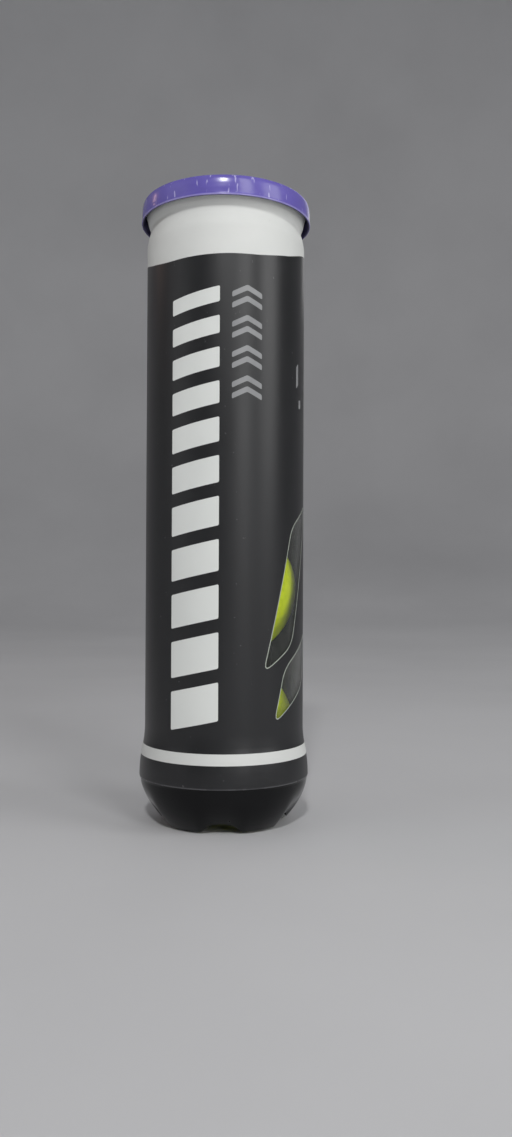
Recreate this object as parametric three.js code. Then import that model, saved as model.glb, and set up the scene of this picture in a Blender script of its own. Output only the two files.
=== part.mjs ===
// Tennis ball can: clear bottle on five moulded feet, printed shrink film, seamed metal end with a
// ring pull, push-on lid, and four tennis balls stacked inside.
// Millimetres, +Z up, foot pads on z = 0, front of the label towards -Y.
import * as THREE from 'three'

const segments = 40
const lobeCount = 5
const lobeTurn = THREE.MathUtils.degToRad(-90 + 180 / lobeCount)
const bottleWall = 0.45
const filmGap = 0.2
const filmThickness = 0.25
const filmRibDepth = 0.25

const bottle = {
  hubZ: 9.8,
  heelRadius: 39.15,
  heelZ: 21.4,
  ribPower: 2.2,
  rimZ: 289.9
}

// Radius and height along a foot, from the hub of the base out to the heel.
const footProfile = [
  [0, bottle.hubZ], [9, 9.2], [15.5, 6.2], [20.5, 1.9], [23.4, 0], [27.6, 0],
  [29.4, 1.2], [31.8, 4], [34.9, 8.4], [37.2, 13], [38.6, 17.6], [bottle.heelRadius, bottle.heelZ]
]
const filmEdgeRow = 6

// Radius and height up the side, from the moulded heel step to the rim under the seam.
const sideProfile = [
  [39.55, 22.1], [39.35, 27], [38.5, 34], [37.4, 40], [37.05, 45], [37.05, 270.6],
  [36.5, 274.6], [35.4, 279.4], [36.55, 282.9], [37.3, 286], [37.3, bottle.rimZ]
]
const filmTopRow = footProfile.length + 9

// Double seam, chuck wall and countersink of the metal end, as one closed section.
const seamProfile = [
  [32.95, 282.2], [33.5, 282.2], [33.7, 281.5], [33.95, 281.1], [34.45, 281.1], [34.75, 281.6],
  [35.45, 283.2], [36.45, 289.6], [36.45, 290.2], [37.65, 290.2], [37.7, 287.2], [38.2, 287.2],
  [38.5, 287.6], [38.5, 290.5], [38.1, 290.9], [36.4, 290.9], [36.05, 290.4], [36, 289.6],
  [35.05, 283.4], [34.35, 281.7], [34.05, 281.6], [33.8, 282.6], [32.95, 282.6], [32.95, 282.2]
]

const panel = {
  radius: 32.7,
  stepRadius: 31,
  lowTopZ: 282.1,
  rimTopZ: 282.6,
  beadRadius: 18,
  beadHeight: 0.35,
  thickness: 0.4
}

const rivet = {
  y: -24.5,
  stemRadius: 1.95,
  headRadius: 3.3,
  bottomZ: 282.35,
  headZ: 284.85,
  topZ: 285.5
}

const tab = {
  bottomZ: 283.2,
  thickness: 1,
  edgeRound: 0.25,
  noseReach: 5.2,
  noseHalfWidth: 4.6,
  halfWidth: 8.2,
  loopY: 15,
  fingerHalfWidth: 5.3,
  fingerHalfLength: 5.9,
  rivetHoleRadius: 2.35
}

// Push-on lid: recessed top panel, raised rim over the seam, snap bead inside the skirt and an edge lip.
const lidProfile = [
  [0, 289.9], [33, 289.9], [33.9, 291.2], [39, 291.2], [39.3, 290.8], [39.3, 287.5],
  [38.7, 286.9], [38.7, 286.3], [39.3, 285.6], [39.4, 282.9], [40.35, 282.9], [40.35, 283.6],
  [40.05, 283.95], [40.1, 291.4], [39.2, 292.3], [34.9, 292.3], [33.7, 290.9], [0, 290.9]
]

const ball = {
  count: 4,
  radius: 32.85,
  restGap: 0.3,
  feltInnerRadius: 29.7,
  seamInnerRadius: 29.7,
  seamOuterRadius: 32.3,
  seamWidth: 1.2,
  feltSetback: 0.95,
  coreOuterRadius: 28.7,
  coreInnerRadius: 25.2,
  coreSplitGap: 0.3,
  coreSegments: 16,
  coreRings: 4,
  curveSteps: 36,
  feltArcSteps: 5
}
const ballTurns = [[0.35, 0.2, 0.9], [0, 0, -1.2], [2.4, 0.5, 0.3], [-0.8, 0.9, 1.6]]

// How far each ball leans off the centre line, towards the windows of the label.
const ballLeans = [0.5, 1.2, 0.8, 0.3]

const colours = {
  bottle: '#cfd8d4',
  film: '#202124',
  metal: '#b9bbbe',
  lid: '#5648a8',
  felt: '#c9e33a',
  seam: '#e9ebdd',
  rubber: '#6f6c66'
}

const group = new THREE.Group()
group.name = 'tennis_ball_can'

function addPiece (name, geometry, color, roughness, metalness) {
  const material = new THREE.MeshStandardMaterial({ color, roughness, metalness })
  material.name = name
  const mesh = new THREE.Mesh(geometry, material)
  mesh.name = name
  group.add(mesh)
}

// Closed surface through rows of points. Points of one row that coincide become one vertex.
function loft (rows, wrap) {
  const positions = []
  const index = []
  const seen = new Map()
  const vertex = point => {
    const key = point.toArray().map(value => Math.round(value * 1e4)).join()
    if (!seen.has(key)) {
      seen.set(key, seen.size)
      positions.push(...point.toArray())
    }
    return seen.get(key)
  }
  const triangle = (a, b, c) => {
    if (a !== b && b !== c && c !== a) index.push(a, b, c)
  }
  const strips = wrap ? rows.length : rows.length - 1
  for (let i = 0; i < strips; i++) {
    const low = rows[i].map(vertex)
    const high = rows[(i + 1) % rows.length].map(vertex)
    low.forEach((corner, j) => {
      const next = (j + 1) % low.length
      triangle(corner, low[next], high[next])
      triangle(corner, high[next], high[j])
    })
  }
  const geometry = new THREE.BufferGeometry()
  geometry.setAttribute('position', new THREE.Float32BufferAttribute(positions, 3))
  geometry.setIndex(index)
  return geometry
}

// Every row moved along the surface normal; rows run from the hub outwards and then upwards.
function offsetRows (rows, distance) {
  return rows.map((row, i) => row.map((point, j) => {
    const before = rows[Math.max(i - 1, 0)][j]
    const after = rows[Math.min(i + 1, rows.length - 1)][j]
    const around = row[(j + 1) % row.length].clone().sub(row[(j + row.length - 1) % row.length])
    const normal = around.cross(after.clone().sub(before))
    if (normal.length() < 1e-6) normal.set(0, 0, -1)
    return point.clone().addScaledVector(normal.normalize(), distance)
  }))
}

// 1 over the middle of each foot, 0 along each rib between two feet.
function footShare (angle) {
  return THREE.MathUtils.smoothstep(Math.cos(lobeCount * (angle - lobeTurn)), -1, 0.2)
}

function ribHeight (radius) {
  const share = Math.pow(radius / bottle.heelRadius, bottle.ribPower)
  return bottle.hubZ + (bottle.heelZ - bottle.hubZ) * share
}

// Outside of the bottle as rows of points, with the ribs sunk by the given share of their depth.
function bottleRows (ribDepth) {
  return [...footProfile, ...sideProfile].map(([radius, z], i) => {
    const row = []
    for (let j = 0; j < segments; j++) {
      const angle = j / segments * 2 * Math.PI
      const sink = i < footProfile.length ? ribDepth * (1 - footShare(angle)) : 0
      const height = THREE.MathUtils.lerp(z, ribHeight(radius), sink)
      row.push(new THREE.Vector3(radius * Math.cos(angle), radius * Math.sin(angle), height))
    }
    return row
  })
}

function makeBottle () {
  const outside = bottleRows(1)
  const inside = offsetRows(outside, -bottleWall)
  return loft([...outside, ...inside.reverse()], false)
}

// Film drawn tight over the bottle: it spans the hollows between the feet instead of filling them,
// and its top edge follows the flared neck up under the lid.
function makeFilm () {
  const backing = bottleRows(filmRibDepth)
  const outside = offsetRows(backing, filmGap + filmThickness).slice(filmEdgeRow, filmTopRow + 1)
  const inside = offsetRows(backing, filmGap).slice(filmEdgeRow, filmTopRow + 1)
  return loft([...outside, ...inside.reverse()], true)
}

function revolve (profile, count) {
  const points = profile.map(([radius, z]) => new THREE.Vector2(radius, z))
  return new THREE.LatheGeometry(points, count).rotateX(Math.PI / 2)
}

// Tear-out panel: sunk middle with one stiffening bead, raised at the score line.
function makePanel () {
  const { radius, stepRadius, lowTopZ, rimTopZ, beadRadius, beadHeight, thickness } = panel
  const top = [
    [radius, rimTopZ], [stepRadius + 0.4, rimTopZ], [stepRadius, lowTopZ],
    [beadRadius + 1.2, lowTopZ], [beadRadius, lowTopZ - beadHeight], [beadRadius - 1.2, lowTopZ], [0, lowTopZ]
  ]
  const under = top.map(([r, z]) => [r, z - thickness]).reverse()
  return revolve([...under, ...top], segments)
}

function makeRivet () {
  const { stemRadius, headRadius, bottomZ, headZ, topZ } = rivet
  const profile = [
    [0, bottomZ], [stemRadius, bottomZ], [stemRadius, headZ], [headRadius, headZ],
    [headRadius, headZ + 0.3], [headRadius - 0.8, topZ], [0, topZ]
  ]
  return revolve(profile, 16).translate(0, rivet.y, 0)
}

// Ring pull: short nose in front of the rivet, finger loop reaching to the middle of the end.
function makeTab () {
  const outline = new THREE.Shape()
  outline.moveTo(-tab.noseHalfWidth, -tab.noseReach)
  outline.lineTo(tab.noseHalfWidth, -tab.noseReach)
  outline.absarc(0, tab.loopY, tab.halfWidth, 0, Math.PI, false)
  outline.closePath()
  const finger = new THREE.Path()
  finger.absellipse(0, tab.loopY, tab.fingerHalfWidth, tab.fingerHalfLength, 0, 2 * Math.PI, true, 0)
  const rivetHole = new THREE.Path()
  rivetHole.absarc(0, 0, tab.rivetHoleRadius, 0, 2 * Math.PI, true)
  outline.holes.push(finger, rivetHole)
  const geometry = new THREE.ExtrudeGeometry(outline, {
    depth: tab.thickness - 2 * tab.edgeRound,
    bevelThickness: tab.edgeRound,
    bevelSize: tab.edgeRound,
    bevelOffset: -tab.edgeRound,
    bevelSegments: 1,
    curveSegments: 8
  })
  return geometry.translate(0, rivet.y, tab.bottomZ + tab.edgeRound)
}

// Lower half of the rubber core, open at the glue line.
function makeHalfCore () {
  const arc = radius => {
    const top = -Math.asin(ball.coreSplitGap / 2 / radius)
    const points = []
    for (let i = 0; i <= ball.coreRings; i++) {
      const turn = THREE.MathUtils.lerp(-Math.PI / 2, top, i / ball.coreRings)
      const across = i === 0 ? 0 : radius * Math.cos(turn)
      points.push([across, radius * Math.sin(turn)])
    }
    return points
  }
  const profile = [...arc(ball.coreOuterRadius), ...arc(ball.coreInnerRadius).reverse()]
  return revolve(profile, ball.coreSegments)
}

// Seam line on the unit sphere, with the direction across it towards the first felt panel.
function seamPoint (t) {
  const wide = 0.75
  const narrow = 0.25
  const lift = Math.sqrt(wide * narrow)
  const point = new THREE.Vector3(
    wide * Math.cos(t) + narrow * Math.cos(3 * t),
    wide * Math.sin(t) - narrow * Math.sin(3 * t),
    2 * lift * Math.sin(2 * t)
  )
  const along = new THREE.Vector3(
    -wide * Math.sin(t) - 3 * narrow * Math.sin(3 * t),
    wide * Math.cos(t) - 3 * narrow * Math.cos(3 * t),
    4 * lift * Math.cos(2 * t)
  )
  return { point, across: along.cross(point).normalize() }
}

// Dumbbell felt panel, symmetrical about the plane x = y, as a thick patch of the sphere.
function makeFelt () {
  const steps = ball.curveSteps / 2
  const rows = []
  for (let i = 0; i <= steps; i++) {
    const { point, across } = seamPoint(Math.PI / 4 + i / steps * Math.PI)
    const start = point.addScaledVector(across, ball.feltSetback / ball.radius).normalize()
    const end = new THREE.Vector3(start.y, start.x, start.z)
    const arc = []
    for (let j = 0; j <= ball.feltArcSteps; j++) {
      arc.push(slerp(start, end, j / ball.feltArcSteps))
    }
    const outside = arc.map(direction => direction.clone().multiplyScalar(ball.radius))
    const inside = arc.map(direction => direction.clone().multiplyScalar(ball.feltInnerRadius))
    rows.push([...outside, ...inside.reverse()])
  }
  return loft(rows, false)
}

function slerp (start, end, share) {
  const turn = start.angleTo(end)
  if (turn < 1e-4) return start.clone()
  const near = Math.sin((1 - share) * turn) / Math.sin(turn)
  const far = Math.sin(share * turn) / Math.sin(turn)
  return start.clone().multiplyScalar(near).addScaledVector(end, far)
}

// Band of cured glue between the two felt panels.
function makeSeam () {
  const half = ball.seamWidth / 2
  const rows = []
  for (let i = 0; i < ball.curveSteps; i++) {
    const { point, across } = seamPoint(Math.PI / 4 + i / ball.curveSteps * 2 * Math.PI)
    const corner = (radius, side) =>
      point.clone().addScaledVector(across, side * half / ball.radius).normalize().multiplyScalar(radius)
    rows.push([
      corner(ball.seamInnerRadius, 1), corner(ball.seamInnerRadius, -1),
      corner(ball.seamOuterRadius, -1), corner(ball.seamOuterRadius, 1)
    ])
  }
  return loft(rows, true)
}

addPiece('can_body', makeBottle(), colours.bottle, 0.15, 0)
addPiece('shrink_sleeve', makeFilm(), colours.film, 0.45, 0)
addPiece('seam_ring', revolve(seamProfile, segments), colours.metal, 0.35, 0.9)
addPiece('seal_panel', makePanel(), colours.metal, 0.35, 0.9)
addPiece('tab_rivet', makeRivet(), colours.metal, 0.3, 0.9)
addPiece('pull_tab', makeTab(), colours.metal, 0.3, 0.9)
addPiece('snap_lid', revolve(lidProfile, segments), colours.lid, 0.3, 0)

const restBottom = bottle.hubZ + bottleWall + ball.restGap
for (let i = 0; i < ball.count; i++) {
  const centreZ = restBottom + ball.radius + i * (2 * ball.radius + ball.restGap)
  const turn = new THREE.Matrix4().makeRotationFromEuler(new THREE.Euler(...ballTurns[i]))
  const place = geometry => geometry.applyMatrix4(turn).translate(ballLeans[i], 0, centreZ)
  const name = `ball_${i + 1}`
  addPiece(`${name}_core_lower`, place(makeHalfCore()), colours.rubber, 0.8, 0)
  addPiece(`${name}_core_upper`, place(makeHalfCore().rotateX(Math.PI)), colours.rubber, 0.8, 0)
  addPiece(`${name}_felt_a`, place(makeFelt()), colours.felt, 0.95, 0)
  addPiece(`${name}_felt_b`, place(makeFelt().rotateX(Math.PI)), colours.felt, 0.95, 0)
  addPiece(`${name}_seam`, place(makeSeam()), colours.seam, 0.7, 0)
}

export default group
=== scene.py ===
# Tennis ball can: clear bottle in a printed film, metal end with ring pull, push-on lid, four balls.
# Lengths are in millimetres until a mesh is made, then in metres.
import math
import bpy
import numpy as np
from mathutils import Euler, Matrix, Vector, noise
from mathutils.geometry import delaunay_2d_cdt


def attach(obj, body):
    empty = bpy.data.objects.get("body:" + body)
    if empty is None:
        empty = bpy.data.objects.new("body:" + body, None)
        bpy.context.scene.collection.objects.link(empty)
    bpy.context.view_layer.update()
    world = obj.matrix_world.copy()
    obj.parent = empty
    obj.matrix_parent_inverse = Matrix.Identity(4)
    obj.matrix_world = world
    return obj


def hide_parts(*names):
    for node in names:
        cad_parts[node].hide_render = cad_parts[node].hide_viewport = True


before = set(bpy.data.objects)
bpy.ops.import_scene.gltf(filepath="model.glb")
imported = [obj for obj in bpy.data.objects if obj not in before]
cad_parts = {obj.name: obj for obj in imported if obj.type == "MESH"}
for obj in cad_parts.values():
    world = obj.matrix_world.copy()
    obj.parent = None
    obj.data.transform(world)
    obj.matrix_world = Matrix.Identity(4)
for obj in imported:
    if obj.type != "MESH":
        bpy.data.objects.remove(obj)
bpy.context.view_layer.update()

MM = 0.001
TAU = 2 * math.pi

# ---------------------------------------------------------------- shapes shared with the CAD model

LOBES = 5
LOBE_TURN = math.radians(-90 + 180 / LOBES)
LOBE_SPREAD = 1.2
HUB_Z, HEEL_R, HEEL_Z, RIB_POWER = 9.8, 39.15, 21.4, 2.2
WALL = 0.45
FILM_OFFSET = 0.45
FILM_RIB_DEPTH = 0.25
FOOT = [
    (0, HUB_Z), (9, 9.2), (15.5, 6.2), (20.5, 1.9), (23.4, 0), (27.6, 0),
    (29.4, 1.2), (31.8, 4), (34.9, 8.4), (37.2, 13), (38.6, 17.6), (HEEL_R, HEEL_Z),
]
SIDE = [
    (39.55, 22.1), (39.35, 27), (38.5, 34), (37.4, 40), (37.05, 45), (37.05, 270.6),
    (36.5, 274.6), (35.4, 279.4), (36.55, 282.9), (37.3, 286), (37.3, 289.9),
]
FILM_FOOT_Z = 21.75
FILM_TOP_Z = 286
SEAM_RING = [
    (32.95, 282.2), (33.5, 282.2), (33.7, 281.5), (33.95, 281.1), (34.45, 281.1), (34.75, 281.6),
    (35.45, 283.2), (36.45, 289.6), (36.45, 290.2), (37.65, 290.2), (37.7, 287.2), (38.2, 287.2),
    (38.5, 287.6), (38.5, 290.5), (38.1, 290.9), (36.4, 290.9), (36.05, 290.4), (36, 289.6),
    (35.05, 283.4), (34.35, 281.7), (34.05, 281.6), (33.8, 282.6), (32.95, 282.6),
]
BALL_R = 32.85
FELT_INNER_R = 29.7
BALL_GAP = 0.3
BALL_CENTRES = [HUB_Z + WALL + BALL_GAP + BALL_R + i * (2 * BALL_R + BALL_GAP) for i in range(4)]
BALL_TURNS = [(0.35, 0.2, 0.9), (0, 0, -1.2), (2.4, 0.5, 0.3), (-0.8, 0.9, 1.6)]
BALL_LEANS = (0.5, 1.2, 0.8, 0.3)
RIVET_Y = -24.5


def pchip(points, where):
    """Smooth curve through points of rising first coordinate, with no overshoot."""
    x, y = np.array(points, float).T
    h = np.diff(x)
    d = np.diff(y) / h
    m = np.zeros(len(x))
    for i in range(1, len(x) - 1):
        if d[i - 1] * d[i] > 0:
            w1, w2 = 2 * h[i] + h[i - 1], h[i] + 2 * h[i - 1]
            m[i] = (w1 + w2) / (w1 / d[i - 1] + w2 / d[i])
    m[0], m[-1] = d[0], d[-1]
    k = np.clip(np.searchsorted(x, where, side="right") - 1, 0, len(h) - 1)
    t = (np.asarray(where, float) - x[k]) / h[k]
    return (
        y[k] * (1 + 2 * t) * (1 - t) ** 2
        + m[k] * h[k] * t * (1 - t) ** 2
        + y[k + 1] * t * t * (3 - 2 * t)
        - m[k + 1] * h[k] * t * t * (1 - t)
    )


def smooth_path(points, steps):
    """Points along a smooth curve through points, steps to each span, as a list of (r, z)."""
    p = np.array(points, float)
    along = np.concatenate([[0], np.cumsum(np.linalg.norm(np.diff(p, axis=0), axis=1))])
    where = np.concatenate(
        [np.linspace(along[i], along[i + 1], steps, endpoint=False) for i in range(len(p) - 1)]
        + [[along[-1]]]
    )
    curve = [pchip(list(zip(along, p[:, axis])), where) for axis in (0, 1)]
    return list(zip(*curve))


def rounded(points, radius, steps=4, closed=False):
    """The same outline with its corners rounded, as a list of (x, y)."""
    out = []
    n = len(points)
    for i, here in enumerate(points):
        if not closed and i in (0, n - 1):
            out.append(tuple(here))
            continue
        here = Vector(here)
        before = Vector(points[i - 1]) - here
        after = Vector(points[(i + 1) % n]) - here
        cut = min(radius, before.length * 0.45, after.length * 0.45)
        start = here + before.normalized() * cut
        end = here + after.normalized() * cut
        for k in range(steps + 1):
            t = k / steps
            out.append(tuple(start * (1 - t) ** 2 + here * 2 * t * (1 - t) + end * t * t))
    return out


# ---------------------------------------------------------------- meshes


def make_mesh(name, points, faces, materials, slots=None, normals=None, body="can", replaces=()):
    """A smooth mesh piece from points in millimetres, riding a body."""
    mesh = bpy.data.meshes.new(name)
    mesh.from_pydata([tuple(float(c) * MM for c in p) for p in points], [], faces)
    for material in materials:
        mesh.materials.append(material)
    if slots is not None:
        mesh.polygons.foreach_set("material_index", slots)
    mesh.polygons.foreach_set("use_smooth", [True] * len(mesh.polygons))
    mesh.validate()
    if normals is not None:
        mesh.normals_split_custom_set_from_vertices([tuple(n) for n in normals])
    mesh.update()
    piece = bpy.data.objects.new(name, mesh)
    bpy.context.scene.collection.objects.link(piece)
    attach(piece, body)
    if replaces:
        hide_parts(*replaces)
    return piece


def weld(rows, wrap_rows=False):
    """Points and faces of a surface through rows of points that close on themselves."""
    seen, points, faces = {}, [], []

    def index(p):
        key = tuple(round(float(c) * 1e4) for c in p)
        if key not in seen:
            seen[key] = len(points)
            points.append(p)
        return seen[key]

    ids = [[index(p) for p in row] for row in rows]
    for i in range(len(rows) if wrap_rows else len(rows) - 1):
        low, high = ids[i], ids[(i + 1) % len(rows)]
        for j in range(len(low)):
            k = (j + 1) % len(low)
            face = list(dict.fromkeys((low[j], low[k], high[k], high[j])))
            if len(face) > 2:
                faces.append(face)
    return points, faces


def turned(profile, segments, centre=(0, 0)):
    """Rows of points of a profile (r, z) turned about an upright axis."""
    rows = []
    for r, z in profile:
        rows.append([
            (centre[0] + r * math.cos(TAU * j / segments), centre[1] + r * math.sin(TAU * j / segments), z)
            for j in range(segments)
        ])
    return rows


def offset_rows(rows, distance):
    """Rows moved along the surface normal."""
    p = np.array(rows, float)
    around = np.roll(p, -1, axis=1) - np.roll(p, 1, axis=1)
    upward = np.empty_like(p)
    upward[1:-1] = p[2:] - p[:-2]
    upward[0], upward[-1] = p[1] - p[0], p[-1] - p[-2]
    normal = np.cross(around, upward)
    length = np.linalg.norm(normal, axis=2, keepdims=True)
    normal = np.where(length < 1e-6, (0.0, 0.0, -1.0), normal / np.maximum(length, 1e-9))
    return p + normal * distance


def foot_share(angle):
    """1 on the middle of a foot, 0 on the rib between two feet."""
    t = (math.cos(LOBES * (angle - LOBE_TURN)) + 1) / LOBE_SPREAD
    t = min(max(t, 0.0), 1.0)
    return t * t * (3 - 2 * t)


def bottle_rows(profile, rib_depth, segments):
    """Outside of the bottle, with the ribs between the feet sunk by a share of their depth."""
    rows = []
    for r, z in profile:
        rib = HUB_Z + (HEEL_Z - HUB_Z) * min(r / HEEL_R, 1.0) ** RIB_POWER
        row = []
        for j in range(segments):
            angle = TAU * j / segments
            sink = rib_depth * (1 - foot_share(angle)) if z < HEEL_Z - 1e-6 else 0
            row.append((r * math.cos(angle), r * math.sin(angle), z + (rib - z) * sink))
        rows.append(row)
    return rows


# ---------------------------------------------------------------- materials

BUMP_DISTANCE = 0.0004
WEAR_STRENGTH, WEAR_SOFTNESS = 0.8, 0.05
GLOSS_FACING, GLOSS_EDGE, GLOSS_POWER = 0.010, 0.75, 3.0


class Shader:
    """Short names for building one material's node tree."""

    def __init__(self, name):
        self.material = bpy.data.materials.new(name)
        self.material.use_nodes = True
        self.tree = self.material.node_tree
        self.tree.nodes.clear()
        self.output = self.add("ShaderNodeOutputMaterial")

    def add(self, kind, **settings):
        node = self.tree.nodes.new(kind)
        for key, value in settings.items():
            if hasattr(node, key) and key not in node.inputs:
                setattr(node, key, value)
            else:
                node.inputs[key].default_value = value
        return node

    def link(self, source, target):
        self.tree.links.new(source, target)

    def noise(self, scale, detail=4.0, stretch=(1, 1, 1), roughness=0.5):
        place = self.add("ShaderNodeTexCoord")
        mapping = self.add("ShaderNodeMapping", Scale=stretch)
        self.link(place.outputs["Object"], mapping.inputs["Vector"])
        node = self.add("ShaderNodeTexNoise", Scale=scale, Detail=detail, Roughness=roughness)
        self.link(mapping.outputs["Vector"], node.inputs["Vector"])
        return node.outputs["Fac"]

    def ramp(self, source, stops):
        node = self.add("ShaderNodeValToRGB")
        while len(node.color_ramp.elements) < len(stops):
            node.color_ramp.elements.new(0.5)
        for element, (position, colour) in zip(node.color_ramp.elements, stops):
            element.position = position
            element.color = (*colour, 1)
        self.link(source, node.inputs["Fac"])
        return node.outputs["Color"]

    def to_range(self, source, low, high, start=0.3, end=0.7):
        node = self.add("ShaderNodeMapRange")
        for key, value in zip(("From Min", "From Max", "To Min", "To Max"), (start, end, low, high)):
            node.inputs[key].default_value = value
        self.link(source, node.inputs["Value"])
        return node.outputs["Result"]

    def bump(self, source, strength, distance):
        node = self.add("ShaderNodeBump", Strength=strength, Distance=distance)
        self.link(source, node.inputs["Height"])
        return node.outputs["Normal"]


def plain_material(name, low, high, roughness, scale, stretch=(1, 1, 1), bump=0.0, wear=None, **sockets):
    """A solid material whose colour and gloss vary a little over the surface, with optional fine marks."""
    s = Shader(name)
    surface = s.add("ShaderNodeBsdfPrincipled")
    for key, value in sockets.items():
        surface.inputs[key.replace("_", " ")].default_value = value
    grain = s.noise(scale, stretch=stretch)
    colour = s.ramp(grain, [(0.3, low), (0.7, high)])
    if wear:
        mark_scale, mark_stretch, tone, start = wear
        marks = s.noise(mark_scale, detail=2.0, stretch=mark_stretch)
        worn = s.add("ShaderNodeMix", data_type="RGBA")
        s.link(s.to_range(marks, 0.0, WEAR_STRENGTH, start, start + WEAR_SOFTNESS), worn.inputs[0])
        s.link(colour, worn.inputs[6])
        worn.inputs[7].default_value = (*tone, 1)
        colour = worn.outputs[2]
    s.link(colour, surface.inputs["Base Color"])
    s.link(s.to_range(grain, *roughness), surface.inputs["Roughness"])
    if bump:
        s.link(s.bump(s.noise(scale * 3, stretch=stretch), bump, BUMP_DISTANCE), surface.inputs["Normal"])
    s.link(surface.outputs[0], s.output.inputs["Surface"])
    return s.material


def clear_material(name, tint, haze, haze_share, gloss_roughness):
    """Thin clear plastic: what is behind shows, with a trace of haze and more gloss at the edges."""
    s = Shader(name)
    clear = s.add("ShaderNodeBsdfTransparent", Color=(*tint, 1))
    cloudy = s.add("ShaderNodeBsdfDiffuse", Roughness=0.3)
    grain = s.noise(60.0, stretch=(1, 1, 0.25))
    s.link(s.ramp(grain, [(0.3, tuple(c * 0.85 for c in haze)), (0.7, haze)]), cloudy.inputs["Color"])
    body = s.add("ShaderNodeMixShader")
    body.inputs[0].default_value = haze_share
    s.link(clear.outputs[0], body.inputs[1])
    s.link(cloudy.outputs[0], body.inputs[2])
    gloss = s.add("ShaderNodeBsdfGlossy", Roughness=gloss_roughness)
    facing = s.add("ShaderNodeLayerWeight", Blend=0.5)
    edge = s.add("ShaderNodeMath", operation="POWER")
    edge.inputs[1].default_value = GLOSS_POWER
    s.link(facing.outputs["Facing"], edge.inputs[0])
    share = s.to_range(edge.outputs[0], GLOSS_FACING, GLOSS_EDGE, 0.0, 1.0)
    whole = s.add("ShaderNodeMixShader")
    s.link(share, whole.inputs[0])
    s.link(body.outputs[0], whole.inputs[1])
    s.link(gloss.outputs[0], whole.inputs[2])
    s.link(whole.outputs[0], s.output.inputs["Surface"])
    return s.material


BLACK = plain_material(
    "film_black", (0.0065, 0.0068, 0.0078), (0.0105, 0.011, 0.0125), (0.31, 0.41), 40, (1, 1, 0.15),
    wear=(420, (1, 1, 1), (0.10, 0.10, 0.105), 0.735), Specular_IOR_Level=0.58,
)
# The film over the base is the same black film as on the side, drawn darker: painted shade on the
# downward-facing base. Its fine lighter marks are wear.
BASE_BLACK_PAINTED_SHADE = plain_material(
    "base_black_painted_shade", (0.0035, 0.0037, 0.0042), (0.006, 0.0063, 0.007), (0.13, 0.22), 45, (1, 1, 0.4),
    wear=(120, (1, 1, 0.3), (0.022, 0.022, 0.025), 0.69), Specular_IOR_Level=0.22,
)
# Narrow band along the film's foot: lighter than the black film, a painted highlight where the film's edge
# at the heel catches the light.
HEEL_PAINTED_HIGHLIGHT = plain_material("film_heel_painted_highlight", (0.045, 0.045, 0.048), (0.085, 0.085, 0.09), (0.22, 0.34), 120)
WHITE = plain_material(
    "film_white", (0.69, 0.705, 0.68), (0.75, 0.76, 0.735), (0.48, 0.62), 25,
    wear=(380, (1, 1, 0.4), (0.52, 0.52, 0.50), 0.735), Specular_IOR_Level=0.3,
)
GLOSS_WHITE = plain_material("print_white", (0.76, 0.78, 0.755), (0.80, 0.82, 0.79), (0.10, 0.18), 30)
GREY = plain_material("print_grey", (0.24, 0.245, 0.25), (0.30, 0.305, 0.31), (0.30, 0.40), 60)
OUTLINE = plain_material("window_edge", (0.36, 0.40, 0.34), (0.46, 0.50, 0.43), (0.25, 0.35), 60)
PURPLE = plain_material(
    "lid_purple", (0.130, 0.104, 0.415), (0.160, 0.130, 0.480), (0.14, 0.28), 55, (1, 1, 2.0), 0.10,
    wear=(620, (1, 1, 0.22), (0.50, 0.47, 0.76), 0.655),
)
# Lid lip: a lighter purple than the rest of the lid, a painted highlight for the bright line of light along
# the lid's lower edge.
LIP_PAINTED_HIGHLIGHT = plain_material("lid_lip_painted_highlight", (0.24, 0.21, 0.53), (0.34, 0.31, 0.62), (0.18, 0.30), 90)
# Lid inside: a much darker purple than the outside, painted shade standing for the unlit inside of the lid.
LID_INSIDE_PAINTED_SHADE = plain_material("lid_inside_painted_shade", (0.024, 0.018, 0.080), (0.034, 0.025, 0.108), (0.45, 0.60), 55)
METAL = plain_material(
    "end_metal", (0.62, 0.63, 0.64), (0.74, 0.75, 0.76), (0.22, 0.38), 120, (1, 1, 0.2), Metallic=1.0
)
RUBBER = plain_material("core_rubber", (0.12, 0.11, 0.10), (0.17, 0.16, 0.14), (0.7, 0.85), 90)
GLUE = plain_material("seam_glue", (0.62, 0.64, 0.50), (0.76, 0.77, 0.64), (0.6, 0.8), 150, bump=0.3)
CLEAR_FILM = clear_material("film_clear", (0.975, 0.985, 0.96), (0.42, 0.46, 0.42), 0.012, 0.14)
BOTTLE = clear_material("bottle_clear", (0.985, 0.99, 0.985), (0.50, 0.54, 0.51), 0.010, 0.08)


def felt_material():
    s = Shader("ball_felt")
    surface = s.add("ShaderNodeBsdfPrincipled")
    surface.inputs["Roughness"].default_value = 0.95
    surface.inputs["Sheen Weight"].default_value = 0.2
    surface.inputs["Sheen Tint"].default_value = (0.80, 1.0, 0.12, 1)
    surface.inputs["Sheen Roughness"].default_value = 0.5
    surface.inputs["Specular IOR Level"].default_value = 0.05
    nap = s.noise(420.0, detail=6.0)
    s.link(
        s.ramp(nap, [(0.30, (0.68, 0.82, 0.003)), (0.52, (0.82, 0.95, 0.006)), (0.72, (0.90, 0.99, 0.015))]),
        surface.inputs["Base Color"],
    )
    s.link(s.bump(s.noise(700.0, detail=5.0), 0.25, BUMP_DISTANCE), surface.inputs["Normal"])
    s.link(surface.outputs[0], s.output.inputs["Surface"])
    return s.material


FELT = felt_material()

# ---------------------------------------------------------------- bottle

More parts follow.
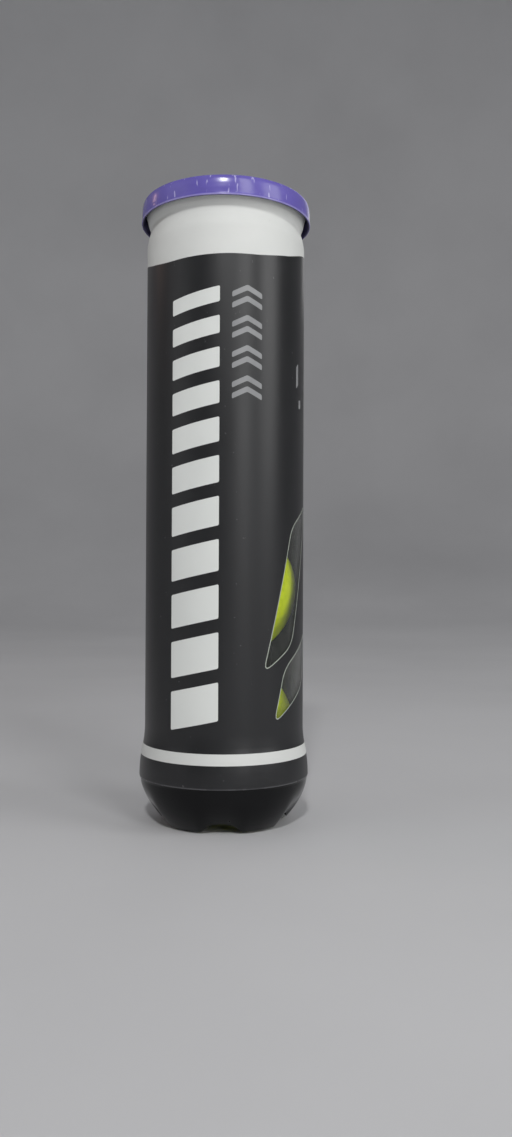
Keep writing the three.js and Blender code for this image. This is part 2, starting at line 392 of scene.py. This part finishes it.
bottle_path = (
    smooth_path(FOOT, 4)
    + [(39.4, 21.6)]
    + smooth_path(SIDE[:5], 5)
    + [(37.05, z) for z in np.linspace(60, 255, 6)]
    + smooth_path(SIDE[5:], 5)
)
BOTTLE_SEGMENTS, BASE_SEGMENTS = 180, 240
outside = bottle_rows(bottle_path, 1.0, BOTTLE_SEGMENTS)
inside = offset_rows(outside, -WALL)
points, faces = weld(list(outside) + list(inside[::-1]))
bottle = make_mesh("bottle", points, faces, [BOTTLE], replaces=("can_body",))

# ---------------------------------------------------------------- film over the base

foot_path = smooth_path(FOOT[6:], 6)
base_rows = bottle_rows(foot_path + [(39.45, FILM_FOOT_Z)], FILM_RIB_DEPTH, BASE_SEGMENTS)
film_base_rows = offset_rows(base_rows, FILM_OFFSET)
# The last row tucks under the printed film, so no gap shows at the heel.
tuck = turned([(39.75, 22.3)], BASE_SEGMENTS)
points, faces = weld(list(film_base_rows) + tuck)
film_base = make_mesh("film_base", points, faces, [BASE_BLACK_PAINTED_SHADE])

# ---------------------------------------------------------------- printed film round the side

PRINT_R = 37.5
HALF_ROUND = math.pi * PRINT_R
FILM_SIDE = [(z, r + FILM_OFFSET) for r, z in SIDE if z <= FILM_TOP_Z]
film_curve = [(FILM_FOOT_Z, 39.8)] + FILM_SIDE


def film_radius(z):
    return pchip(film_curve, np.asarray(z, float))


def across(degrees):
    """Distance round the unrolled sheet from the front."""
    return math.radians(degrees) * PRINT_R


# Edge between the black field and the white band, as (degrees from the front, height).
WAVE = [
    (-180, 262.5), (-125, 263), (-83, 261.7), (-60, 258.4), (-40, 256.9), (-23, 257.3), (0, 257.9),
    (22, 258.3), (47.5, 260.9), (86, 267.2), (125, 268), (180, 262.5),
]


def wave_height(x):
    return float(pchip([(across(a), z) for a, z in WAVE], np.array([x]))[0])


WINDOW_RISE, WINDOW_LEAN, WINDOW_CORNER_R = 0.43, 0.41, 6.0


def window(angle, low, width, height):
    """A plain slanted opening with round corners; its angle and width are in degrees."""
    rise, lean = WINDOW_RISE * width, WINDOW_LEAN * height
    corners = [
        (angle, low), (angle + width, low + rise),
        (angle + width + lean, low + rise + height), (angle + lean, low + height),
    ]
    return rounded([(across(at), z) for at, z in corners], WINDOW_CORNER_R, 6, closed=True)


def slanted_bar(low_left, width, height, rise):
    x, z = low_left
    return [(x, z), (x + width, z + rise), (x + width, z + rise + height), (x, z + height)]


def chevron(x, z, width, height, rise):
    mid = x + width / 2
    return [
        (x, z), (mid, z + rise), (x + width, z), (x + width, z + height),
        (mid, z + rise + height), (x, z + height),
    ]


def inset(outline, distance):
    """A closed outline moved inwards."""
    n = len(outline)
    area = sum(
        outline[i][0] * outline[(i + 1) % n][1] - outline[(i + 1) % n][0] * outline[i][1] for i in range(n)
    )
    side = 1 if area > 0 else -1
    out = []
    for i in range(n):
        a, b, c = (Vector(outline[k % n]) for k in (i - 1, i, i + 1))
        first, second = (b - a).normalized(), (c - b).normalized()
        n1, n2 = Vector((-first.y, first.x)) * side, Vector((-second.y, second.x)) * side
        way = n1 + n2
        way = way / max(way.length_squared / 2, 0.35)
        out.append(tuple(b + way * distance))
    return out


BLACK_SLOT, WHITE_SLOT, GLOSS_SLOT, GREY_SLOT, EDGE_SLOT, CLEAR_SLOT, HEEL_HIGHLIGHT_SLOT = range(7)
BAR_ANGLE, BAR_LOW = -37.3, 46.6
BAR_WIDTH, BAR_GAP, BAR_RISE = 23.0, 6.0, 5.0
BAR_HEIGHTS = range(17, 6, -1)
CHEVRON_ANGLE, CHEVRON_LOW, CHEVRON_STEP, CHEVRON_PAIR = 6.2, 193.4, 13.4, 4.9
TICK_ANGLE = 60


def sheet_print(turn):
    """Plain marks of one face of the label, as (material number, outline), and its window outlines."""
    left, low = across(turn + BAR_ANGLE), BAR_LOW
    marks = []
    for height in BAR_HEIGHTS:
        marks.append((GLOSS_SLOT, slanted_bar((left, low), BAR_WIDTH, height, BAR_RISE)))
        low += height + BAR_GAP
    left = across(turn + CHEVRON_ANGLE)
    for k in range(4):
        for j in range(2):
            low = CHEVRON_LOW + CHEVRON_STEP * k + CHEVRON_PAIR * j
            marks.append((GREY_SLOT, chevron(left, low, 13.9, 2.5, 3.4)))
    left = across(turn + TICK_ANGLE)
    marks.append((GREY_SLOT, slanted_bar((left + 1.5, 202), 2.2, 10, 2.0)))
    marks.append((GREY_SLOT, slanted_bar((left + 4.5, 193), 2.2, 4, 0.5)))
    windows = [window(turn + 29, 72, 28, 66), window(turn + 38, 49, 38, 25)]
    return marks, windows


def dense(outline, step=1.6):
    """A closed outline with points at most a step apart."""
    out = []
    for i, a in enumerate(outline):
        a, b = Vector(a), Vector(outline[(i + 1) % len(outline)])
        count = max(1, math.ceil((b - a).length / step))
        out += [tuple(a.lerp(b, k / count)) for k in range(count)]
    return out


def holds(outline, where):
    """Which of the points lie inside a closed outline."""
    x, y = where[:, 0], where[:, 1]
    inside = np.zeros(len(where), bool)
    for i, (ax, ay) in enumerate(outline):
        bx, by = outline[(i + 1) % len(outline)]
        crossing = (ay > y) != (by > y)
        inside ^= crossing & (x < (bx - ax) * (y - ay) / (by - ay + 1e-12) + ax)
    return inside


BAND_LOW, BAND_HIGH = 32.2, 37.2
HEEL_HIGHLIGHT_TOP = 22.35
MARK_CORNER_R, WINDOW_EDGE_WIDTH, SEAM_MARGIN = 0.7, 0.45, 0.5
regions = []
for turn in (0.0, 180.0):
    marks, windows = sheet_print(turn)
    regions += [(number, rounded(outline, MARK_CORNER_R, 3, closed=True)) for number, outline in marks]
    for outline in windows:
        regions.append((EDGE_SLOT, outline))
        regions.append((CLEAR_SLOT, inset(outline, WINDOW_EDGE_WIDTH)))

# Whatever passes the seam at the back comes round on the other side.
placed = []
for number, outline in regions:
    for shift in (0.0, -2 * HALF_ROUND):
        moved = [(x + shift, z) for x, z in outline]
        low, high = min(x for x, _ in moved), max(x for x, _ in moved)
        if low > -HALF_ROUND + SEAM_MARGIN and high < HALF_ROUND - SEAM_MARGIN:
            placed.append((number, moved))

film_low, film_high = FILM_FOOT_Z, FILM_TOP_Z
columns = 120
heights = sorted(
    set(np.round(np.concatenate([
        np.linspace(film_low, 50, 26), np.linspace(54, 254, 41), np.linspace(268, film_high, 25)
    ]), 3))
    | {BAND_LOW, BAND_HIGH, HEEL_HIGHLIGHT_TOP}
)
grid_x = np.linspace(-HALF_ROUND, HALF_ROUND, columns + 1)
wave_line = [(x, wave_height(x)) for x in np.linspace(-HALF_ROUND, HALF_ROUND, 2 * columns + 1)]
points_2d, edges_2d = [], []


def add_line(line, closed):
    start = len(points_2d)
    points_2d.extend(Vector(p) for p in line)
    count = len(line)
    edges_2d.extend((start + i, start + (i + 1) % count) for i in range(count if closed else count - 1))


for height in (film_low, HEEL_HIGHLIGHT_TOP, BAND_LOW, BAND_HIGH, film_high):
    add_line([(x, height) for x in grid_x], False)
add_line(wave_line, False)
for side in (-HALF_ROUND, HALF_ROUND):
    add_line([(side, z) for z in heights], False)
outlines = [(number, dense(outline)) for number, outline in placed]
for _, outline in outlines:
    add_line(outline, True)
near = np.array([p for _, outline in outlines for p in outline])
for z in heights:
    if z in (film_low, film_high, HEEL_HIGHLIGHT_TOP, BAND_LOW, BAND_HIGH):
        continue
    for k, x in enumerate(grid_x[1:-1]):
        if abs(z - wave_height(x)) < 1.2:
            continue
        if np.min(np.hypot(near[:, 0] - x, near[:, 1] - z)) > 0.7:
            points_2d.append(Vector((x, z)))
flat, _, triangles, *_ = delaunay_2d_cdt(points_2d, edges_2d, [], 0, 1e-4)
flat = np.array([tuple(p) for p in flat])
triangles = np.array([tuple(t) for t in triangles])
a, b, c = (flat[triangles[:, k]] for k in range(3))
doubled = (b[:, 0] - a[:, 0]) * (c[:, 1] - a[:, 1]) - (c[:, 0] - a[:, 0]) * (b[:, 1] - a[:, 1])
triangles = triangles[np.abs(doubled) > 1e-7]
flip = doubled[np.abs(doubled) > 1e-7] < 0
triangles[flip] = triangles[flip][:, ::-1]
middles = flat[triangles].mean(axis=1)
wave_at = np.array([wave_height(x) for x in middles[:, 0]])
slots = np.where(middles[:, 1] > wave_at, WHITE_SLOT, BLACK_SLOT)
slots[(middles[:, 1] > BAND_LOW) & (middles[:, 1] < BAND_HIGH)] = WHITE_SLOT
# The band at the film's foot takes the lighter colour: painted highlight along the heel.
slots[middles[:, 1] < HEEL_HIGHLIGHT_TOP] = HEEL_HIGHLIGHT_SLOT
for number, outline in outlines:
    slots[holds(outline, middles)] = number

angles = flat[:, 0] / PRINT_R - math.pi / 2
radii = film_radius(flat[:, 1])
slope = (film_radius(flat[:, 1] + 0.05) - film_radius(flat[:, 1] - 0.05)) / 0.1
# The lowest edge turns in over the heel.
slope[flat[:, 1] < film_low + 0.3] = 0.6
points_3d = np.stack([radii * np.cos(angles), radii * np.sin(angles), flat[:, 1]], axis=1)
normals = np.stack([np.cos(angles), np.sin(angles), -slope], axis=1)
normals /= np.linalg.norm(normals, axis=1, keepdims=True)
# The two edges of the sheet meet at the back and share their points.
last = {round(z, 3): i for i, (x, z) in enumerate(flat) if abs(x + HALF_ROUND) < 1e-3}
same = {
    i: last[round(z, 3)] for i, (x, z) in enumerate(flat)
    if abs(x - HALF_ROUND) < 1e-3 and round(z, 3) in last
}
faces = [[same.get(int(v), int(v)) for v in t] for t in triangles]
label = make_mesh(
    "label_film", points_3d, faces, [BLACK, WHITE, GLOSS_WHITE, GREY, OUTLINE, CLEAR_FILM, HEEL_PAINTED_HIGHLIGHT],
    slots=[int(v) for v in slots], normals=normals, replaces=("shrink_sleeve",),
)

# ---------------------------------------------------------------- metal end

ring_path = rounded(SEAM_RING, 0.35, 4, closed=True)
points, faces = weld(turned(ring_path, 180), wrap_rows=True)
ring = make_mesh("double_seam", points, faces, [METAL], replaces=("seam_ring",))

panel_top = [
    (32.7, 282.6), (31.4, 282.6), (31, 282.1), (19.2, 282.1), (18, 281.75), (16.8, 282.1), (0, 282.1),
]
panel_path = rounded([(r, z - 0.4) for r, z in panel_top][::-1] + panel_top, 0.3, 3)
points, faces = weld(turned(panel_path, 160))
panel = make_mesh("tear_panel", points, faces, [METAL], replaces=("seal_panel",))

rivet_path = rounded([
    (0, 282.35), (1.95, 282.35), (1.95, 284.85), (3.3, 284.85), (3.3, 285.15), (2.5, 285.5), (0, 285.5),
], 0.25, 3)
points, faces = weld(turned(rivet_path, 48, (0, RIVET_Y)))
rivet = make_mesh("tab_rivet_head", points, faces, [METAL], replaces=("tab_rivet",))


TAB_Z, LOOP_Y, LOOP_R = 283.2, 15, 8.2


def tab_outline(grow):
    """Outside of the ring pull, grown or shrunk, in millimetres from the rivet."""
    half = LOOP_R + grow
    arc = [math.pi * k / 32 for k in range(33)]
    loop = [(half * math.cos(angle), LOOP_Y + half * math.sin(angle)) for angle in arc]
    nose = [(-4.6 - grow, -5.2 - grow), (4.6 + grow, -5.2 - grow)]
    return dense(rounded(nose + loop, 1.0, 4, closed=True), 0.8)


def ellipse(cx, cy, rx, ry, count=64):
    return [(cx + rx * math.cos(TAU * k / count), cy + ry * math.sin(TAU * k / count)) for k in range(count)]


def tab_mesh():
    """Flat strip with a rolled edge: outlines at several heights, joined and capped."""
    levels = [(0.0, -0.35), (0.12, -0.12), (0.35, 0.0), (0.65, 0.0), (0.88, -0.12), (1.0, -0.35)]
    points, faces = [], []
    rings = []
    for makes, sign in (
        (tab_outline, 1), (lambda g: ellipse(0, LOOP_Y, 5.3 + g, 5.9 + g), -1),
        (lambda g: ellipse(0, 0, 2.35 + g, 2.35 + g, 32), -1),
    ):
        stack = []
        for height, grow in levels:
            line = makes(grow * sign)
            stack.append(list(range(len(points), len(points) + len(line))))
            points.extend((x, y + RIVET_Y, TAB_Z + height) for x, y in line)
        count = len(stack[0])
        for low, high in zip(stack, stack[1:]):
            for j in range(count):
                k = (j + 1) % count
                quad = (low[j], low[k], high[k], high[j])
                faces.append(quad if sign > 0 else quad[::-1])
        rings.append(stack)
    for level, upward in ((-1, True), (0, False)):
        loops = [stack[level] for stack in rings]
        order = [v for loop in loops for v in loop]
        flat_points = [Vector(points[v][:2]) for v in order]
        edges, at = [], 0
        for loop in loops:
            edges += [(at + i, at + (i + 1) % len(loop)) for i in range(len(loop))]
            at += len(loop)
        _, _, tris, *_ = delaunay_2d_cdt(flat_points, edges, [], 0, 1e-6)
        tris = np.array([tuple(t) for t in tris])
        mids = np.array([tuple(p) for p in flat_points])[tris].mean(axis=1)
        keep = holds([tuple(flat_points[i]) for i in range(len(loops[0]))], mids)
        at = len(loops[0])
        for loop in loops[1:]:
            keep &= ~holds([tuple(flat_points[at + i]) for i in range(len(loop))], mids)
            at += len(loop)
        for t in tris[keep]:
            face = [order[v] for v in t]
            p, q, r = (Vector(points[v]) for v in face)
            if ((q - p).cross(r - p).z > 0) != upward:
                face.reverse()
            faces.append(tuple(face))
    return points, faces


points, faces = tab_mesh()
tab = make_mesh("ring_pull_tab", points, faces, [METAL], body="ring_pull", replaces=("pull_tab",))

# ---------------------------------------------------------------- lid

LID = [
    (0, 289.9), (33, 289.9), (33.9, 291.2), (39, 291.2), (39.3, 290.8), (39.3, 287.5), (38.7, 286.9),
    (38.7, 286.3), (39.3, 285.6), (39.4, 282.9), (40.35, 282.9), (40.35, 283.55), (40.03, 283.95),
    (40.14, 286.2), (40.08, 288.6), (39.86, 290.6), (39.5, 291.7), (38.9, 292.3), (34.9, 292.3),
    (33.7, 290.9), (12, 290.9), (11.5, 291.15), (10.5, 291.15), (10, 290.9), (0, 290.9),
]
LID_SEGMENTS, LIP_TOP_Z, INSIDE_R = 220, 283.7, 40
OUTSIDE_SLOT, LIT_LIP_SLOT, SHADED_INSIDE_SLOT = range(3)
lid_path = rounded(LID, 0.55, 5)
points, faces = weld(turned(lid_path, LID_SEGMENTS))
# The profile runs out under the top and down the inside, so its rows before the lip are the inside; these
# take the darker purple, painted shade for the unlit inside of the lid.
lip_start = next(i for i, (r, _) in enumerate(lid_path) if r > INSIDE_R)
lid_slots = []
for n in range(len(faces)):
    row = n // LID_SEGMENTS
    # Faces low on the outside take the lighter lip purple, a painted highlight.
    on_lip = max(lid_path[row][1], lid_path[row + 1][1]) < LIP_TOP_Z
    lid_slots.append(SHADED_INSIDE_SLOT if row < lip_start else LIT_LIP_SLOT if on_lip else OUTSIDE_SLOT)
lid = make_mesh(
    "lid", points, faces, [PURPLE, LIP_PAINTED_HIGHLIGHT, LID_INSIDE_PAINTED_SHADE], slots=lid_slots, body="lid", replaces=("snap_lid",),
)

# ---------------------------------------------------------------- balls

SEAM_WIDE, SEAM_NARROW = 0.75, 0.25
SEAM_LIFT = math.sqrt(SEAM_WIDE * SEAM_NARROW)


def seam_point(t):
    """Seam on the unit sphere, and the way across it towards the first panel."""
    point = Vector((
        SEAM_WIDE * math.cos(t) + SEAM_NARROW * math.cos(3 * t),
        SEAM_WIDE * math.sin(t) - SEAM_NARROW * math.sin(3 * t),
        2 * SEAM_LIFT * math.sin(2 * t),
    ))
    along = Vector((
        -SEAM_WIDE * math.sin(t) - 3 * SEAM_NARROW * math.sin(3 * t),
        SEAM_WIDE * math.cos(t) - 3 * SEAM_NARROW * math.cos(3 * t),
        4 * SEAM_LIFT * math.cos(2 * t),
    ))
    return point, along.cross(point).normalized()


def felt_rows(seed):
    """One felt panel, with a rounded edge and an uneven nap."""
    setback, edge_width, edge_drop, sink = 0.7, 1.3, 1.0, 0.15
    steps, arcs = 120, 36
    shares = [0.5 - 0.5 * math.cos(math.pi * j / arcs) for j in range(arcs + 1)]
    rows = []
    for i in range(steps + 1):
        turn = 0.5 - 0.5 * math.cos(math.pi * i / steps)
        turn = 0.6 * i / steps + 0.4 * turn
        point, way = seam_point(math.pi / 4 + turn * math.pi)
        start = (point + way * (setback / BALL_R)).normalized()
        end = Vector((start.y, start.x, start.z))
        span = start.angle(end, 0.0)
        outer, inner = [], []
        for share in shares:
            way_out = start.slerp(end, share) if span > 1e-4 else start.copy()
            edge = min(share, 1 - share) * span * BALL_R
            ends = min(turn, 1 - turn) * 95
            rise = min(edge, ends + 0.001) / edge_width
            drop = edge_drop * (1 - min(rise, 1.0)) ** 2
            nap = noise.noise(way_out * 38 + Vector((seed, 0, 0))) * 0.10
            nap += noise.noise(way_out * 9 + Vector((0, seed, 0))) * 0.08
            outer.append(way_out * (BALL_R - sink - drop + nap))
            inner.append(way_out * FELT_INNER_R)
        rows.append(outer + inner[::-1])
    return rows


def seam_rows():
    """Raised line of glue between the two panels."""
    count, half = 220, 0.75
    rows = []
    for i in range(count):
        point, way = seam_point(TAU * i / count)
        row = []
        for side, radius in ((1, 29.8), (-1, 29.8), (-1, 31.7), (-0.5, 31.95), (0.5, 31.95), (1, 31.7)):
            row.append((point + way * (side * half / BALL_R)).normalized() * radius)
        rows.append(row)
    return rows


def spin(points, turn, centre):
    """Points turned about the origin, then moved to a ball's centre."""
    matrix = turn.to_matrix()
    return [tuple(matrix @ Vector(p) + centre) for p in points]


seam_points, seam_faces = weld(seam_rows(), wrap_rows=True)
for i, (height, lean, turn) in enumerate(zip(BALL_CENTRES, BALL_LEANS, BALL_TURNS)):
    body = f"ball_{i + 1}"
    # Same turn as the CAD: about its own X, then Y, then Z.
    turn = Euler(turn, "ZYX")
    centre = Vector((lean, 0, height))
    for letter in "ab":
        points, faces = weld(felt_rows(7.3 * i + (3.1 if letter == "b" else 0.0)))
        if letter == "b":
            points = [(p[0], -p[1], -p[2]) for p in points]
        felt = make_mesh(
            f"{body}_panel_{letter}", spin(points, turn, centre), faces, [FELT],
            body=body, replaces=(f"{body}_felt_{letter}",),
        )
    seam = make_mesh(
        f"{body}_seam_line", spin(seam_points, turn, centre), seam_faces, [GLUE],
        body=body, replaces=(f"{body}_seam",),
    )
    for half in ("lower", "upper"):
        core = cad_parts[f"{body}_core_{half}"]
        core.data.materials.clear()
        core.data.materials.append(RUBBER)

# ---------------------------------------------------------------- floor, light and camera

FLOOR_DROP = 0.0002
floor_path = [(0, 0), (1200, 0), (1700, 30), (2150, 200), (2450, 560), (2550, 1400), (2570, 3600)]
floor_path = smooth_path(floor_path, 8)
points, faces = weld(turned(floor_path, 96))
floor_mesh = bpy.data.meshes.new("floor")
floor_mesh.from_pydata([tuple(c * MM for c in p) for p in points], [], [f[::-1] for f in faces])
floor_mesh.polygons.foreach_set("use_smooth", [True] * len(floor_mesh.polygons))
FLOOR = plain_material("floor_pale", (0.60, 0.60, 0.61), (0.66, 0.66, 0.67), (0.7, 0.8), 3)
floor_mesh.materials.append(FLOOR)
floor = bpy.data.objects.new("floor", floor_mesh)
floor.location.z = -FLOOR_DROP
bpy.context.scene.collection.objects.link(floor)


def area_light(name, place, target, size, power, colour=(1, 1, 1)):
    data = bpy.data.lights.new(name, "AREA")
    data.shape = "RECTANGLE"
    data.size, data.size_y = size
    data.energy = power
    data.color = colour
    lamp = bpy.data.objects.new(name, data)
    lamp.location = place
    lamp.rotation_euler = (Vector(target) - Vector(place)).to_track_quat("-Z", "Y").to_euler()
    bpy.context.scene.collection.objects.link(lamp)


area_light("key", (-0.045, -1.29, 1.22), (0, 0, 0.2), (0.12, 0.12), 9.2)
area_light("side", (0.72, -1.34, 0.86), (0, 0, 0.12), (0.40, 1.25), 6.6)
area_light("window_side", (1.42, -0.65, 0.80), (0, 0, 0.12), (0.7, 1.0), 6.5)
area_light("fill", (-1.4, -0.6, 0.75), (0, 0, 0.15), (0.9, 1.2), 1.5)
area_light("back", (0.3, 1.5, 1.1), (0, 0, 0.15), (1.2, 0.8), 2.0)
area_light("warm", (-1.49, 0.57, 1.0), (0, 0, 0.28), (0.05, 0.20), 0.55, (1.0, 0.60, 0.48))

world = bpy.data.worlds.new("studio")
world.use_nodes = True
world.node_tree.nodes["Background"].inputs["Color"].default_value = (0.9, 0.92, 0.95, 1)
world.node_tree.nodes["Background"].inputs["Strength"].default_value = 0.22
bpy.context.scene.world = world
bpy.context.scene.view_settings.view_transform = "Standard"

camera_data = bpy.data.cameras.new("camera")
camera_data.lens = 30.05
camera_data.sensor_width = 36
camera = bpy.data.objects.new("camera", camera_data)
camera.location = (0.01501, -0.45424, 0.1118)
camera.rotation_euler = Euler((math.radians(90.935), math.radians(-0.218), 0), "XYZ")
bpy.context.scene.collection.objects.link(camera)
bpy.context.scene.camera = camera
